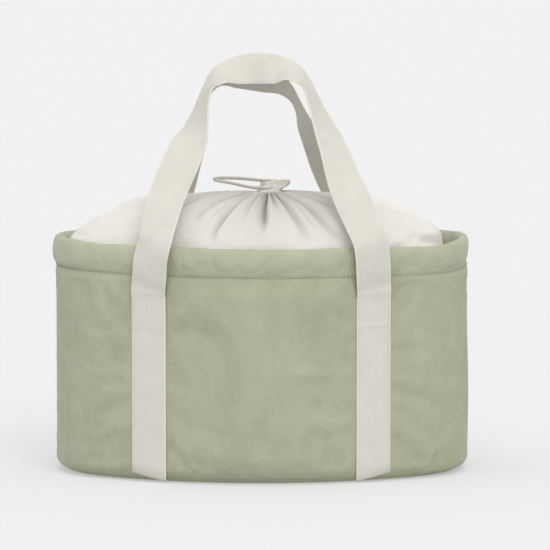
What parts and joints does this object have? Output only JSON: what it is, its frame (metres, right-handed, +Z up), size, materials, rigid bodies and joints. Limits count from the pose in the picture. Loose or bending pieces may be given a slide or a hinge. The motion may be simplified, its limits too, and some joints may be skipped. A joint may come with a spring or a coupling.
{
  "type": "insulated cooler bag",
  "caption": "Soft oval insulated tote with a padded wall, a rolled rim, a cloth cover drawn shut by a cord and two webbing carrying handles.",
  "frame": {"origin": "on the floor under the middle of the bag", "axes": "+Z up, +X along the bag's length to its right-hand end, -Y towards the front, +Y towards the back"},
  "size_m": [0.449, 0.273, 0.4555],
  "materials": {
    "shell_nylon": "matt woven nylon, sage green",
    "cover_cloth": "plain cotton cloth, natural cream",
    "webbing": "ribbed cotton webbing, natural cream",
    "cord": "round braided cotton cord, natural cream",
    "foam": "soft white closed-cell foam sheet",
    "liner": "silver-grey wipe-clean lining film",
    "board": "stiff plastic sheet",
    "lock_plastic": "moulded cream plastic",
    "spring_steel": "drawn spring wire"
  },
  "bodies": {
    "bag": {"base_panel": "shell_nylon", "shell_front": "shell_nylon", "shell_back": "shell_nylon", "rim_band": "shell_nylon", "base_board": "board", "foam_base": "foam", "foam_front": "foam", "foam_back": "foam", "liner_wall": "liner", "liner_base": "liner", "cover_skirt": "cover_cloth", "strap_front_left": "webbing", "strap_front_right": "webbing", "strap_back_left": "webbing", "strap_back_right": "webbing"},
    "front_handle": {"front_handle_leg_right": "webbing", "front_handle_grip": "webbing", "front_handle_leg_left": "webbing"},
    "back_handle": {"back_handle_leg_right": "webbing", "back_handle_grip": "webbing", "back_handle_leg_left": "webbing"},
    "cover_neck": {"casing_frill": "cover_cloth", "drawstring_in_casing": "cord", "drawstring_loop_end": "cord", "drawstring_short_end": "cord", "knot_loop_end": "cord", "knot_short_end": "cord"},
    "cord_lock": {"cord_lock_barrel": "lock_plastic", "cord_lock_spring": "spring_steel"},
    "lock_button": {"cord_lock_button": "lock_plastic"}
  },
  "joints": [
    {"name": "front_handle_fold", "type": "hinge", "parent": "bag", "child": "front_handle", "pos_m": [0, -0.12378, 0.207], "axis": [1, 0, 0], "range_deg": [0, 150]},
    {"name": "back_handle_fold", "type": "hinge", "parent": "bag", "child": "back_handle", "pos_m": [0, 0.12378, 0.207], "axis": [-1, 0, 0], "range_deg": [0, 150]},
    {"name": "cover_neck_lift", "type": "slide", "parent": "bag", "child": "cover_neck", "axis": [0, 0, 1], "range_m": [0, 0.025]},
    {"name": "cord_lock_slide", "type": "slide", "parent": "cover_neck", "child": "cord_lock", "axis": [0, 0.9397, -0.342], "range_m": [0, 0.01]},
    {"name": "lock_button_press", "type": "slide", "parent": "cord_lock", "child": "lock_button", "axis": [-1, 0, 0], "range_m": [0, 0.004], "stiffness_N_per_m": 400, "springref_m": -0.005, "deforming": ["cord_lock_spring"]}
  ]
}
